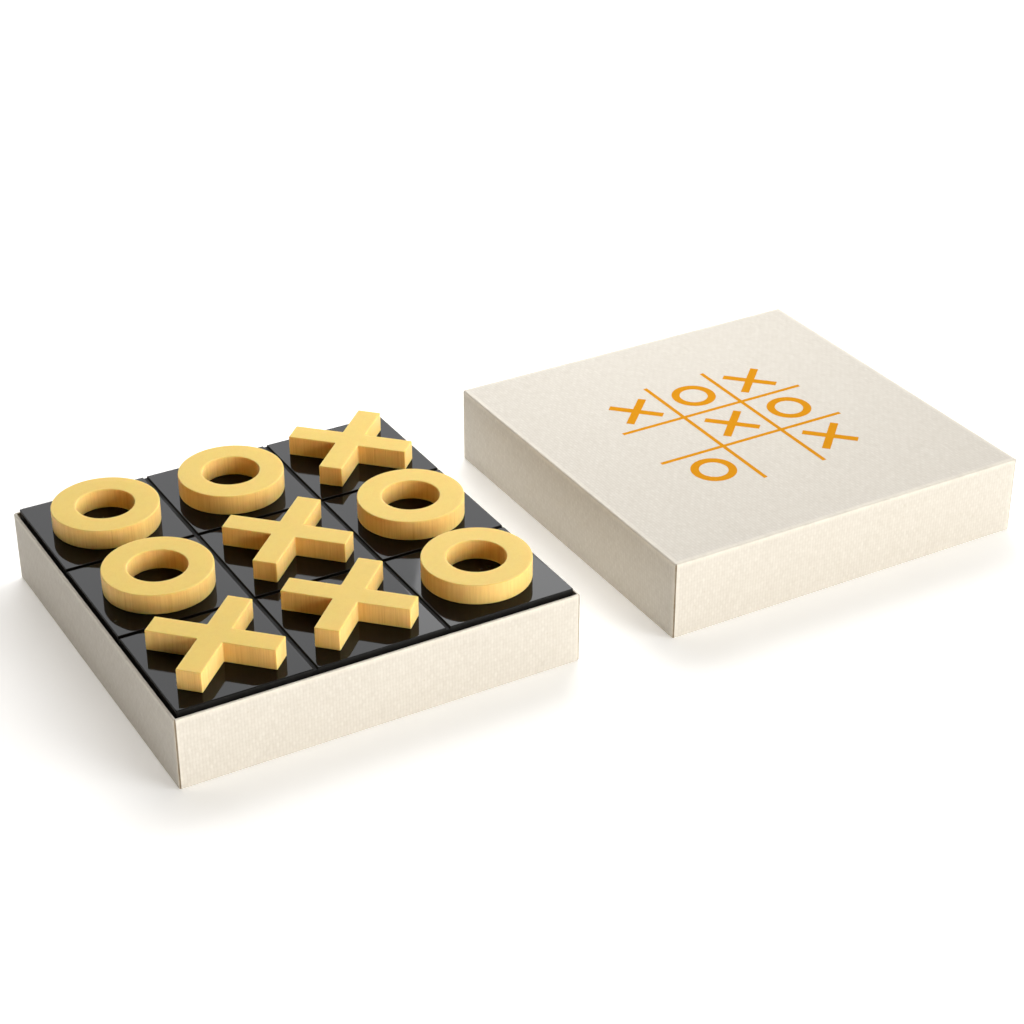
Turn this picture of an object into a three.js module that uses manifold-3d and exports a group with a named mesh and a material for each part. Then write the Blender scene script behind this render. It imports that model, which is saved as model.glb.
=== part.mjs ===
// A boxed noughts-and-crosses set: a paper-covered tray that carries a lift-out black board,
// nine wooden pieces standing on the board, and the tray's lid set down on the table beside it.
// Millimetres, +Z up. The origin is the centre of the tray's underside, +X runs towards the lid
// and +Y away from the player.

import * as THREE from "three";
import { mergeVertices } from "three/addons/utils/BufferGeometryUtils.js";
import Module from "manifold-3d";

// The game shown, with the row farthest from the player first.
const LAYOUT = ["OOX", "OXO", "XXO"];

// Wooden pieces
const PIECE_SIZE = 50.5; // across a ring, and across the square that holds a cross
const PIECE_STROKE = 11.6; // width of a ring's band and of a cross's arms
const PIECE_THICKNESS = 10;
const PIECE_EASE = 0.4; // chamfer on the wooden edges

// Black board
const TILE_MARGIN = 6.6; // from a piece to the middle of the groove beside it
const BOARD_THICKNESS = 6;
const BOARD_CORNER = 0.8; // radius of the board's corners in plan
const BOARD_EASE = 0.4; // rounding of the board's top and bottom edges
const GROOVE_WIDTH = 2;
const GROOVE_DEPTH = 1;
const GROOVE_EASE = 0.4; // rounding where a groove meets the board's face

// Greyboard, papers and glue of the tray and the lid
const GREYBOARD = 0.75;
const COVER_PAPER = 0.2;
const LINING_PAPER = 0.2;
const STAY_TAPE = 0.1; // tape that holds a folded corner
const GLUE_LINE = 0.05;
const CRUSHED_CORNER = 0.6; // radius of the greyboard where it folds
const CRUSHED_RIM = 0.3; // radius of the greyboard's cut edge
const CREASE_RADIUS = 0.1; // tightest inside corner of a fold
const CORNER_SLIT = 0.3; // gap between two walls of the folded blank
const TURN_IN = 15; // cover paper turned over the rim and down the inside
const STAY_LEG = 12; // tape on each side of a corner
const LINER_MARGIN = 0.3; // bare edge left round a lining sheet

// Fits
const STORE_DEPTH = 30.75; // room for pieces under the board
const LEDGE_THICKNESS = 3;
const LEDGE_GAP = 0.3; // between the ends of two ledges
const BOARD_GAP = 0.9; // between the board and the tray's walls
const BOARD_REVEAL = 2.5; // board standing proud of the tray's rim
const SEAT_PLAY = 0.05; // under a loose piece
const LID_CLEARANCE = 0.75; // between the closed lid and the tray
const LID_HEADROOM = 0.7; // between the closed lid and the board

// Where the lid stands on the table
const LID_APART = 46.5; // from the tray's side to the lid's side
const LID_FORWARD = 3.9; // lid's centre nearer to the player than the tray's

// Facets
const RING_SEGMENTS = 44;
const CORNER_STEPS = 2;
const PROFILE_STEPS = 1;

// Plan sizes, from the pieces outwards
const TILES = LAYOUT.length;
const TILE_PITCH = PIECE_SIZE + 2 * TILE_MARGIN;
const BOARD_SIDE = TILES * TILE_PITCH;
const OUTER_SKIN = COVER_PAPER + STAY_TAPE + 2 * GLUE_LINE;
const INNER_SKIN = COVER_PAPER + GLUE_LINE;
const WALL = OUTER_SKIN + GREYBOARD + INNER_SKIN;
const BASE_SIDE = BOARD_SIDE + 2 * (BOARD_GAP + WALL);
const LID_SIDE = BASE_SIDE + 2 * (LID_CLEARANCE + WALL);

// Heights, from the table upwards
const UNDER_SKIN = COVER_PAPER + GLUE_LINE;
const PANEL_TOP = UNDER_SKIN + GREYBOARD;
const FLOOR = PANEL_TOP + GLUE_LINE + LINING_PAPER;
const LEDGE_TOP = FLOOR + GLUE_LINE + STORE_DEPTH;
const BOARD_BOTTOM = LEDGE_TOP + SEAT_PLAY;
const BOARD_TOP = BOARD_BOTTOM + BOARD_THICKNESS;
const BASE_HEIGHT = BOARD_TOP - BOARD_REVEAL;
const LID_HEIGHT = BOARD_TOP + LID_HEADROOM + FLOOR;

const QUARTER = Math.PI / 2;

const wasm = await Module();
wasm.setup();

const finishes = {
  linenPaper: () => finish(0xf0eade, 0.85),
  blackPaper: () => finish(0x1b1a19, 0.9),
  greyboard: () => finish(0x9c9488, 0.95),
  kraftTape: () => finish(0xb58f63, 0.8),
  blackGloss: () => finish(0x0b0b0c, 0.08),
  paleWood: () => finish(0xe6c27c, 0.5),
};

function finish(color, roughness, metalness = 0) {
  return new THREE.MeshStandardMaterial({ color, roughness, metalness });
}

function named(name, geometry, material) {
  const mesh = new THREE.Mesh(geometry, material);
  mesh.name = name;
  return mesh;
}

function solidOf(geometry) {
  const bare = geometry.clone();
  bare.deleteAttribute("normal");
  bare.deleteAttribute("uv");
  const merged = mergeVertices(bare);
  return new wasm.Manifold(
    new wasm.Mesh({
      numProp: 3,
      vertProperties: merged.attributes.position.array,
      triVerts: new Uint32Array(merged.index.array),
    }),
  );
}

function geometryOf(solid) {
  const { vertProperties, triVerts } = solid.getMesh();
  const geometry = new THREE.BufferGeometry();
  geometry.setAttribute("position", new THREE.BufferAttribute(vertProperties, 3));
  geometry.setIndex(new THREE.BufferAttribute(triVerts, 1));
  geometry.computeVertexNormals();
  return geometry;
}

function cutAll(geometry, cutters) {
  const solid = cutters.reduce((left, cutter) => left.subtract(solidOf(cutter)), solidOf(geometry));
  return geometryOf(solid);
}

function roundedSquare(half, radius) {
  const centre = half - radius;
  const shape = new THREE.Shape();
  shape.absarc(centre, centre, radius, 0, QUARTER);
  shape.absarc(-centre, centre, radius, QUARTER, 2 * QUARTER);
  shape.absarc(-centre, -centre, radius, 2 * QUARTER, 3 * QUARTER);
  shape.absarc(centre, -centre, radius, 3 * QUARTER, 4 * QUARTER);
  return shape;
}

// Carries a profile round a square with rounded corners. The profile's x is the distance from the
// middle to the side and its y the height. Flat faces close its two ends.
function squareSweep(profile, outerRadius) {
  const points = profile.getPoints(PROFILE_STEPS);
  const widest = Math.max(...points.map((point) => point.x));
  const positions = [];
  let count = 0;
  for (const { x: half, y: height } of points) {
    const radius = Math.max(outerRadius - (widest - half), CREASE_RADIUS);
    const loop = roundedSquare(half, radius).getPoints(CORNER_STEPS);
    loop.forEach((point) => positions.push(point.x, point.y, height));
    count = loop.length;
  }
  const last = points.length - 1;
  const startMiddle = positions.length / 3;
  const endMiddle = startMiddle + 1;
  positions.push(0, 0, points[0].y, 0, 0, points[last].y);

  const faces = [];
  for (let here = 0; here < count; here++) {
    const next = (here + 1) % count;
    faces.push(startMiddle, next, here);
    for (let level = 0; level < last; level++) {
      const low = level * count;
      const high = low + count;
      faces.push(low + here, low + next, high + next);
      faces.push(low + here, high + next, high + here);
    }
    faces.push(endMiddle, last * count + here, last * count + next);
  }
  const geometry = new THREE.BufferGeometry();
  geometry.setAttribute("position", new THREE.Float32BufferAttribute(positions, 3));
  geometry.setIndex(faces);
  geometry.computeVertexNormals();
  return geometry;
}

// Cover paper of a tray: one sheet across the underside, up the walls, over the rim and turned in.
function wrapGeometry(side, height) {
  const half = side / 2;
  const inner = half - WALL;
  const fold = CRUSHED_CORNER + OUTER_SKIN;
  const foldHeight = CRUSHED_CORNER + UNDER_SKIN;
  const rimOut = CRUSHED_RIM + OUTER_SKIN;
  const rimIn = CRUSHED_RIM + INNER_SKIN;
  const rimHeight = CRUSHED_RIM + UNDER_SKIN;
  const rimBase = height - rimHeight;
  const paper = COVER_PAPER;
  const profile = new THREE.Path();
  profile.absellipse(half - fold, foldHeight, fold, foldHeight, -QUARTER, 0);
  profile.absellipse(half - rimOut, rimBase, rimOut, rimHeight, 0, QUARTER);
  profile.absellipse(inner + rimIn, rimBase, rimIn, rimHeight, QUARTER, 2 * QUARTER);
  profile.lineTo(inner, height - TURN_IN);
  profile.lineTo(inner + paper, height - TURN_IN);
  profile.absellipse(
    inner + rimIn, rimBase, rimIn - paper, rimHeight - paper, 2 * QUARTER, QUARTER, true,
  );
  profile.absellipse(half - rimOut, rimBase, rimOut - paper, rimHeight - paper, QUARTER, 0, true);
  profile.absellipse(half - fold, foldHeight, fold - paper, foldHeight - paper, 0, -QUARTER, true);
  return squareSweep(profile, fold);
}

// Greyboard of a tray: floor and four walls folded up from one blank, slit at the corners.
function blankGeometry(side, height) {
  const half = side / 2 - OUTER_SKIN;
  const inner = half - GREYBOARD;
  const rim = height - UNDER_SKIN;
  const rimBase = rim - CRUSHED_RIM;
  const foldHeight = UNDER_SKIN + CRUSHED_CORNER;
  const profile = new THREE.Path();
  profile.absarc(half - CRUSHED_CORNER, foldHeight, CRUSHED_CORNER, -QUARTER, 0);
  profile.absarc(half - CRUSHED_RIM, rimBase, CRUSHED_RIM, 0, QUARTER);
  profile.absarc(inner + CRUSHED_RIM, rimBase, CRUSHED_RIM, QUARTER, 2 * QUARTER);
  profile.lineTo(inner, PANEL_TOP);

  const slitHeight = 2 * (rim - PANEL_TOP);
  const slits = [0, 1, 2, 3].map((corner) => {
    const slit = new THREE.BoxGeometry(2 * WALL, CORNER_SLIT, slitHeight);
    slit.translate((inner + GREYBOARD / 2) * Math.SQRT2, 0, PANEL_TOP + slitHeight / 2);
    return slit.rotateZ((corner + 0.5) * QUARTER);
  });
  return cutAll(squareSweep(profile, CRUSHED_CORNER), slits);
}

// Tape bent round one corner of the greyboard, from the fold at its foot to the rim.
function cornerStayGeometry(side, height) {
  const centre = side / 2 - OUTER_SKIN - CRUSHED_CORNER;
  const inside = CRUSHED_CORNER + GLUE_LINE;
  const outside = inside + STAY_TAPE;
  const end = centre - STAY_LEG;
  const shape = new THREE.Shape();
  shape.moveTo(centre + outside, end);
  shape.absarc(centre, centre, outside, 0, QUARTER);
  shape.lineTo(end, centre + outside);
  shape.lineTo(end, centre + inside);
  shape.absarc(centre, centre, inside, QUARTER, 0, true);
  shape.lineTo(centre + inside, end);
  const foot = UNDER_SKIN + CRUSHED_CORNER;
  const depth = height - UNDER_SKIN - CRUSHED_RIM - foot;
  const stay = new THREE.ExtrudeGeometry(shape, {
    depth,
    bevelEnabled: false,
    curveSegments: CORNER_STEPS,
  });
  return stay.translate(0, 0, foot);
}

// An open tray, standing on the table with its mouth up: wrap, blank, corner stays and liner.
function tray(prefix, side, height) {
  const group = new THREE.Group();
  group.add(named(`${prefix}_wrap`, wrapGeometry(side, height), finishes.linenPaper()));
  group.add(named(`${prefix}_blank`, blankGeometry(side, height), finishes.greyboard()));
  for (let corner = 0; corner < 4; corner++) {
    const stay = cornerStayGeometry(side, height);
    const mesh = named(`${prefix}_corner_stay_${corner + 1}`, stay, finishes.kraftTape());
    mesh.rotation.z = corner * QUARTER;
    group.add(mesh);
  }
  const linerSide = side - 2 * (WALL + LINER_MARGIN);
  const liner = new THREE.BoxGeometry(linerSide, linerSide, LINING_PAPER);
  const linerMesh = named(`${prefix}_liner`, liner, finishes.blackPaper());
  linerMesh.position.z = FLOOR - LINING_PAPER / 2;
  group.add(linerMesh);
  return group;
}

// Risers glued inside the tray: front and back run full length, left and right between them.
function ledges() {
  const group = new THREE.Group();
  const inside = BASE_SIDE - 2 * (WALL + GLUE_LINE);
  const reach = inside / 2 - LEDGE_THICKNESS / 2;
  const between = inside - 2 * (LEDGE_THICKNESS + LEDGE_GAP);
  const places = [
    ["ledge_front", inside, LEDGE_THICKNESS, 0, -reach],
    ["ledge_back", inside, LEDGE_THICKNESS, 0, reach],
    ["ledge_left", LEDGE_THICKNESS, between, -reach, 0],
    ["ledge_right", LEDGE_THICKNESS, between, reach, 0],
  ];
  for (const [name, width, depth, x, y] of places) {
    const strip = new THREE.BoxGeometry(width, depth, STORE_DEPTH);
    const mesh = named(name, strip, finishes.blackPaper());
    mesh.position.set(x, y, LEDGE_TOP - STORE_DEPTH / 2);
    group.add(mesh);
  }
  return group;
}

// Section of the router bit that cuts a groove, with the board's face at y = 0.
function grooveShape() {
  const half = GROOVE_WIDTH / 2;
  const lip = half + GROOVE_EASE;
  const shape = new THREE.Shape();
  shape.moveTo(-half, -GROOVE_DEPTH);
  shape.lineTo(half, -GROOVE_DEPTH);
  shape.absarc(lip, -GROOVE_EASE, GROOVE_EASE, 2 * QUARTER, QUARTER, true);
  shape.lineTo(lip, GROOVE_DEPTH);
  shape.lineTo(-lip, GROOVE_DEPTH);
  shape.absarc(-lip, -GROOVE_EASE, GROOVE_EASE, QUARTER, 0, true);
  return shape;
}

// One black plate with eased edges. The grooves cross and run out through its sides.
function boardMesh() {
  const half = BOARD_SIDE / 2;
  const profile = new THREE.Path();
  profile.absarc(half - BOARD_EASE, BOARD_EASE, BOARD_EASE, -QUARTER, 0);
  profile.absarc(half - BOARD_EASE, BOARD_THICKNESS - BOARD_EASE, BOARD_EASE, 0, QUARTER);
  const plate = squareSweep(profile, BOARD_CORNER);

  const run = BOARD_SIDE + 2 * GROOVE_WIDTH;
  const cutters = [];
  for (let line = 1; line < TILES; line++) {
    const along = new THREE.ExtrudeGeometry(grooveShape(), {
      depth: run,
      bevelEnabled: false,
      curveSegments: CORNER_STEPS,
    });
    along.translate(line * TILE_PITCH - half, BOARD_THICKNESS, -run / 2).rotateX(QUARTER);
    cutters.push(along, along.clone().rotateZ(QUARTER));
  }
  const mesh = named("board", cutAll(plate, cutters), finishes.blackGloss());
  mesh.position.z = BOARD_BOTTOM;
  return mesh;
}

// A ring, revolved from its band's chamfered section, standing on z = 0.
function noughtGeometry() {
  const outer = PIECE_SIZE / 2;
  const inner = outer - PIECE_STROKE;
  const top = PIECE_THICKNESS;
  const ease = PIECE_EASE;
  const section = [
    [inner + ease, 0],
    [outer - ease, 0],
    [outer, ease],
    [outer, top - ease],
    [outer - ease, top],
    [inner + ease, top],
    [inner, top - ease],
    [inner, ease],
    [inner + ease, 0],
  ].map(([radius, height]) => new THREE.Vector2(radius, height));
  return new THREE.LatheGeometry(section, RING_SEGMENTS).rotateX(QUARTER);
}

// A cross whose arms run to the corners of its square, cut square at their ends, standing on z = 0.
function crossGeometry() {
  const half = PIECE_STROKE / 2;
  const reach = PIECE_SIZE * Math.SQRT1_2 - half;
  const middle = new THREE.Vector2();
  const outline = [0, 1, 2, 3].flatMap((arm) =>
    [
      [reach, -half],
      [reach, half],
      [half, half],
    ].map(([x, y]) => new THREE.Vector2(x, y).rotateAround(middle, (arm + 0.5) * QUARTER)),
  );
  const cross = new THREE.ExtrudeGeometry(new THREE.Shape(outline), {
    depth: PIECE_THICKNESS - 2 * PIECE_EASE,
    bevelThickness: PIECE_EASE,
    bevelSize: PIECE_EASE,
    bevelOffset: -PIECE_EASE,
    bevelSegments: 1,
  });
  return cross.translate(0, 0, PIECE_EASE);
}

// The pieces in play, each in the middle of its tile, counted from the far left.
function pieces() {
  const kinds = {
    O: { name: "nought", make: noughtGeometry, count: 0 },
    X: { name: "cross", make: crossGeometry, count: 0 },
  };
  const group = new THREE.Group();
  const first = -((TILES - 1) / 2) * TILE_PITCH;
  LAYOUT.forEach((row, fromFar) =>
    [...row].forEach((mark, fromLeft) => {
      const kind = kinds[mark];
      kind.count += 1;
      const mesh = named(`${kind.name}_${kind.count}`, kind.make(), finishes.paleWood());
      mesh.position.x = first + fromLeft * TILE_PITCH;
      mesh.position.y = -first - fromFar * TILE_PITCH;
      group.add(mesh);
    }),
  );
  group.position.z = BOARD_TOP + SEAT_PLAY;
  return group;
}

// The lid is built like the tray and stands on its mouth.
function lid() {
  const group = tray("lid", LID_SIDE, LID_HEIGHT);
  group.rotation.x = 2 * QUARTER;
  group.position.set((BASE_SIDE + LID_SIDE) / 2 + LID_APART, -LID_FORWARD, LID_HEIGHT);
  return group;
}

const set = new THREE.Group();
set.add(tray("base", BASE_SIDE, BASE_HEIGHT), ledges(), boardMesh(), pieces(), lid());

export default set;
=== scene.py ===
"""Dresses a boxed noughts-and-crosses set: covered tray and lid, gloss board, wooden pieces.

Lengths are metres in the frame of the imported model. The tray stands with the middle of its underside
at the origin, the lid stands beside it towards +X, and the player sits towards -Y.
"""

from __future__ import annotations

import logging
import math
from abc import ABC, abstractmethod
from collections.abc import Mapping, Sequence
from dataclasses import dataclass, field
from enum import Enum
from typing import Any

import bmesh
import bpy
from mathutils import Euler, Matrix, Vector


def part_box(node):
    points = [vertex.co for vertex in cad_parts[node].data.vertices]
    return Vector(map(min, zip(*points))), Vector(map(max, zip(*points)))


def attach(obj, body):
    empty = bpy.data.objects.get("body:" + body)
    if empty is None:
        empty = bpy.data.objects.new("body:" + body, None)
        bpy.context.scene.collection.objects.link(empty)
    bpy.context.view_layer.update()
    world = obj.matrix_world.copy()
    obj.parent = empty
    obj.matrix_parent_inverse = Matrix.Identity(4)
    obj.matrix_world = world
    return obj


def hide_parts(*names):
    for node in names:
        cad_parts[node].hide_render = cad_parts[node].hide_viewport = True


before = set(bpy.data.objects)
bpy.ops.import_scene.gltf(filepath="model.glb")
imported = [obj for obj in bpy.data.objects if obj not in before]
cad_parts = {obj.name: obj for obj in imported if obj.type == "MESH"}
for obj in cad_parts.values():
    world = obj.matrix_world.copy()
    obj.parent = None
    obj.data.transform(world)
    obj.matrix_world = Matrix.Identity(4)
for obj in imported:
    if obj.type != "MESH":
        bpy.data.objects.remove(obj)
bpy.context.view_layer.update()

LOG = logging.getLogger("noughts_and_crosses")
MM = 0.001
QUARTER = math.pi / 2
BOX_CORNERS = 4
SOFT_EDGE_ANGLE = math.radians(50)
SAME_POINT = 1e-7
# Marks worn arrises; on the cover paper their lightening is partly painted highlight.
WEAR_AND_HIGHLIGHT_MARK = "wear_and_highlight"
# Marks painted shade on folds, rims and the board's grooves, and the dark corner seams, partly the
# paper's grey core and partly painted shade.
SHADE_AND_SEAM_MARK = "shade_and_seam"

Span = tuple[float, float]
Point = tuple[float, float, float]
Colour = tuple[float, float, float, float]
FacePoint = tuple[float, float, float, float]
Socket = bpy.types.NodeSocket
NodeTree = bpy.types.NodeTree
Material = bpy.types.Material
SceneObject = bpy.types.Object
Value = Socket | float | Colour | Point | Vector


def paint(red: int, green: int, blue: int) -> Colour:
    """Turns a colour as a screen shows it into the linear light that shaders use.

    Args:
        red: red, from 0 to 255.
        green: green, from 0 to 255.
        blue: blue, from 0 to 255.

    Returns:
        The linear colour with full alpha.
    """
    levels = [level / 255 for level in (red, green, blue)]
    linear = [v / 12.92 if v <= 0.04045 else ((v + 0.055) / 1.055) ** 2.4 for v in levels]
    return (linear[0], linear[1], linear[2], 1.0)


def pointing(bearing: float, height: float) -> Vector:
    """Gives the direction at a bearing from +Y towards +X and a height above level.

    Args:
        bearing: in degrees.
        height: in degrees.

    Returns:
        The direction, with a length of one.
    """
    turn = math.radians(bearing)
    rise = math.radians(height)
    level = math.cos(rise)
    return Vector((math.sin(turn) * level, math.cos(turn) * level, math.sin(rise)))


def quarter_turn(steps: int) -> list[float]:
    """Gives the angles of a quarter turn that starts at 0, in even steps."""
    return [QUARTER * step / steps for step in range(steps + 1)]


class Standing(Enum):
    """Which way up the tray or the lid stands on the table."""

    MOUTH_UP = "mouth up"
    MOUTH_DOWN = "mouth down"


class Mark(Enum):
    """What a player puts on a tile."""

    NOUGHT = "O"
    CROSS = "X"


class Wiring:
    """Adds nodes to one node tree and joins their sockets."""

    def __init__(self, tree: NodeTree) -> None:
        """Keeps the tree that is being wired."""
        self.tree = tree

    def node(
        self, kind: str, inputs: Mapping[int | str, Value] | None = None, **settings: Any
    ) -> bpy.types.Node:
        """Adds one shader node.

        Args:
            kind: the node's class name without its ShaderNode prefix.
            inputs: a value or a socket for each named or numbered input.
            **settings: the node's own properties.

        Returns:
            The new node.
        """
        made = self.tree.nodes.new("ShaderNode" + kind)
        for name, value in settings.items():
            setattr(made, name, value)
        for socket, value in (inputs or {}).items():
            self.feed(made.inputs[socket], value)
        return made

    def feed(self, socket: Socket, value: Value) -> None:
        """Joins a socket to an input, or sets the input to a plain value.

        Args:
            socket: the input.
            value: the socket that feeds it, or its plain value.
        """
        if isinstance(value, Socket):
            self.tree.links.new(value, socket)
        else:
            socket.default_value = value

    def maths(self, operation: str, *values: Value) -> Socket:
        """Adds a Math node of that operation and gives its result."""
        return self.node("Math", dict(enumerate(values)), operation=operation).outputs[0]

    def blend(self, share: Value, first: Value, second: Value) -> Socket:
        """Gives the number that lies between first and second by that share."""
        mix = self.node("Mix", {0: share, 2: first, 3: second}, data_type="FLOAT")
        return mix.outputs[0]

    def tint(self, share: Value, first: Value, second: Value, mode: str = "MIX") -> Socket:
        """Gives two colours mixed by that share."""
        mix = self.node("Mix", {0: share, 6: first, 7: second}, data_type="RGBA", blend_type=mode)
        return mix.outputs[2]

    def dot(self, first: Value, second: Value) -> Socket:
        """Gives the dot product of two vectors."""
        return self.node("VectorMath", {0: first, 1: second}, operation="DOT_PRODUCT").outputs["Value"]

    def ramp(self, value: Value, over: Span, to: Span = (0.0, 1.0)) -> Socket:
        """Carries a value that runs over one span smoothly to another span."""
        inputs = dict(enumerate((value, *over, *to)))
        return self.node("MapRange", inputs, interpolation_type="SMOOTHSTEP").outputs[0]

    def shaded(self, colour: Value, shade: Socket) -> Socket:
        """Multiplies a colour by a shade that varies over the surface."""
        grey = self.node("CombineColor", {0: shade, 1: shade, 2: shade}).outputs[0]
        return self.tint(1.0, colour, grey, "MULTIPLY")

    def noise(self, vector: Value, scale: Value, detail: float, roughness: float = 0.5) -> Socket:
        """Gives smooth noise from 0 to 1, finer with a larger scale."""
        inputs = {"Vector": vector, "Scale": scale, "Detail": detail, "Roughness": roughness}
        return self.node("TexNoise", inputs).outputs["Fac"]

    def per_size(self, size: Value) -> Socket:
        """Gives the scale at which a texture's features have that size."""
        return self.maths("DIVIDE", 1.0, size)

    def group(self, tree: NodeTree, inputs: Mapping[str, Value]) -> bpy.types.Node:
        """Places a node group with its own values.

        Args:
            tree: the group.
            inputs: a value or a socket for each of its inputs.

        Returns:
            The node that holds the group.
        """
        made = self.node("Group", node_tree=tree)
        for socket, value in inputs.items():
            self.feed(made.inputs[socket], value)
        return made


class EffectGroup(Wiring):
    """A shader node group under construction, with named inputs and outputs."""

    def __init__(self, name: str, inputs: Mapping[str, float], outputs: Sequence[str]) -> None:
        """Makes the empty group and its sockets.

        Args:
            name: what the effect is called.
            inputs: each input with its usual value.
            outputs: the names of the values that the group puts out.
        """
        super().__init__(bpy.data.node_groups.new(name, "ShaderNodeTree"))
        face = self.tree.interface
        for label, usual in inputs.items():
            socket = face.new_socket(label, in_out="INPUT", socket_type="NodeSocketFloat")
            socket.default_value = usual
        for label in outputs:
            face.new_socket(label, in_out="OUTPUT", socket_type="NodeSocketFloat")
        self.given = self.tree.nodes.new("NodeGroupInput").outputs
        self.result = self.tree.nodes.new("NodeGroupOutput").inputs
        place = self.node("TexCoord")
        self.position = place.outputs["Object"]
        self.facing = place.outputs["Normal"]

    def put_out(self, **values: Socket) -> NodeTree:
        """Joins the group's outputs.

        Args:
            **values: what each output puts out.

        Returns:
            The finished tree.
        """
        for label, value in values.items():
            self.feed(self.result[label], value)
        return self.tree


class Effects:
    """The surface effects that several finishes share, each built once."""

    def __init__(self) -> None:
        """Builds every effect group."""
        self.weave = self._linen_weave()
        self.grain = self._wood_grain()
        self.wear_and_highlight = self._broken_mark("edge_wear", WEAR_AND_HIGHLIGHT_MARK, least=0.5)
        self.shade_and_seam = self._broken_mark("gathered_soil", SHADE_AND_SEAM_MARK, least=0.8)
        self.drift = self._tone_drift()
        self.specks = self._fine_specks()

    @staticmethod
    def _linen_weave() -> NodeTree:
        """Embossed plain weave that follows each flat side of a box.

        Returns:
            A group with the threads' height, and a shade that is darker in the hollows between threads,
            as painted shade, and differs at random from thread to thread.
        """
        stiffness = 0.42
        weft_share = 1.33
        weft_height = 0.68
        wobble = 0.6
        wobble_size = 6 * MM
        slub_run = 0.5
        thread_spread = 17.3
        hollow_shade_share = 0.4
        warp_tone_share = 0.6
        weft_tone_share = 0.3
        middle_tone = -0.17
        flat_from = 0.7
        warp_seed = 3.1
        weft_seed = 91.7
        group = EffectGroup("linen_weave", {"Thread": 0.9 * MM, "Slub": 0.5}, ("Height", "Shade"))
        thread = group.given["Thread"]
        x, y, z = group.node("SeparateXYZ", {0: group.position}).outputs
        nx, ny, nz = (
            group.maths("ABSOLUTE", part)
            for part in group.node("SeparateXYZ", {0: group.facing}).outputs
        )
        lies_flat = group.maths("GREATER_THAN", nz, flat_from)
        on_end = group.maths("GREATER_THAN", nx, group.maths("MAXIMUM", ny, nz))
        across = group.blend(on_end, x, y)
        along = group.blend(lies_flat, z, y)
        stray = group.noise(group.position, 1 / wobble_size, detail=2.0)
        shift = group.maths("MULTIPLY", group.maths("SUBTRACT", stray, 0.5), wobble)
        a = group.maths("ADD", group.maths("DIVIDE", across, thread), shift)
        weft_thread = group.maths("MULTIPLY", thread, weft_share)
        b = group.maths("ADD", group.maths("DIVIDE", along, weft_thread), shift)

        def threads(
            side: Value, length: Value, phase: float, seed: float
        ) -> tuple[Socket, Socket]:
            """One set of threads, round in section and passing over and under the other.

            Args:
                side: place across the threads, in threads.
                length: place along them, in threads.
                phase: a half turn apart for the two sets.
                seed: keeps the two sets' slubs apart.

            Returns:
                Their height and their tone, each about 0 to 1.
            """
            number = group.maths("FLOOR", side)
            within = group.maths("FRACT", side)
            body = group.maths("MULTIPLY", group.maths("SUBTRACT", 1.0, within), within)
            body = group.maths("MULTIPLY", body, 4.0)
            turn = group.maths("ADD", group.maths("MULTIPLY", length, math.pi), phase)
            turn = group.maths("MULTIPLY_ADD", number, math.pi, turn)
            over = group.maths("MULTIPLY_ADD", group.maths("COSINE", turn), 0.5, 0.5)
            over = group.blend(over, stiffness, 1.0)
            lane = group.maths("MULTIPLY_ADD", number, thread_spread, seed)
            run = group.maths("MULTIPLY", length, slub_run)
            spot = group.node("CombineXYZ", {0: lane, 1: run}).outputs[0]
            tone = group.noise(spot, 1.0, detail=2.0)
            uneven = group.maths("SUBTRACT", tone, 0.5)
            thick = group.maths("MULTIPLY_ADD", uneven, group.given["Slub"], 1.0)
            return group.maths("MULTIPLY", group.maths("MULTIPLY", body, over), thick), tone

        warp, warp_tone = threads(a, b, -QUARTER, warp_seed)
        weft, weft_tone = threads(b, a, QUARTER, weft_seed)
        height = group.maths("MAXIMUM", warp, group.maths("MULTIPLY", weft, weft_height))
        # Painted shade: the colour darkens where the threads sink.
        shade = group.maths("MULTIPLY_ADD", height, hollow_shade_share, middle_tone)
        shade = group.maths("MULTIPLY_ADD", warp_tone, warp_tone_share, shade)
        shade = group.maths("MULTIPLY_ADD", weft_tone, weft_tone_share, shade)
        return group.put_out(Height=height, Shade=shade)

    @staticmethod
    def _wood_grain() -> NodeTree:
        """Solid wood whose fibres run upright: streaks on the sides, flecks on the faces.

        Returns:
            A group with streaks, dark flecks, a mask of the sides, and the fibres' height.
        """
        band_width = 5.0
        fleck_scale = 1.7
        fleck_edge = (0.64, 0.74)
        fleck_depth = 0.5
        side_edge = (0.25, 0.85)
        group = EffectGroup(
            "wood_grain",
            {"Fibre": 0.8 * MM, "Run": 24 * MM},
            ("Streak", "Band", "Fleck", "Side", "Height"),
        )
        fibre = group.per_size(group.given["Fibre"])
        run = group.per_size(group.given["Run"])
        squeeze = group.node("CombineXYZ", {0: fibre, 1: fibre, 2: run}).outputs[0]
        stretch = group.node("VectorMath", {0: group.position, 1: squeeze}, operation="MULTIPLY")
        stretched = stretch.outputs[0]
        streak = group.noise(stretched, 1.0, detail=3.0, roughness=0.6)
        band = group.noise(stretched, 1 / band_width, detail=2.0)
        fleck = group.ramp(group.noise(stretched, fleck_scale, detail=1.0), fleck_edge)
        upright = group.maths("ABSOLUTE", group.node("SeparateXYZ", {0: group.facing}).outputs[2])
        side = group.ramp(upright, side_edge, to=(1.0, 0.0))
        height = group.maths("SUBTRACT", streak, group.maths("MULTIPLY", fleck, fleck_depth))
        return group.put_out(Streak=streak, Band=band, Fleck=fleck, Side=side, Height=height)

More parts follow.
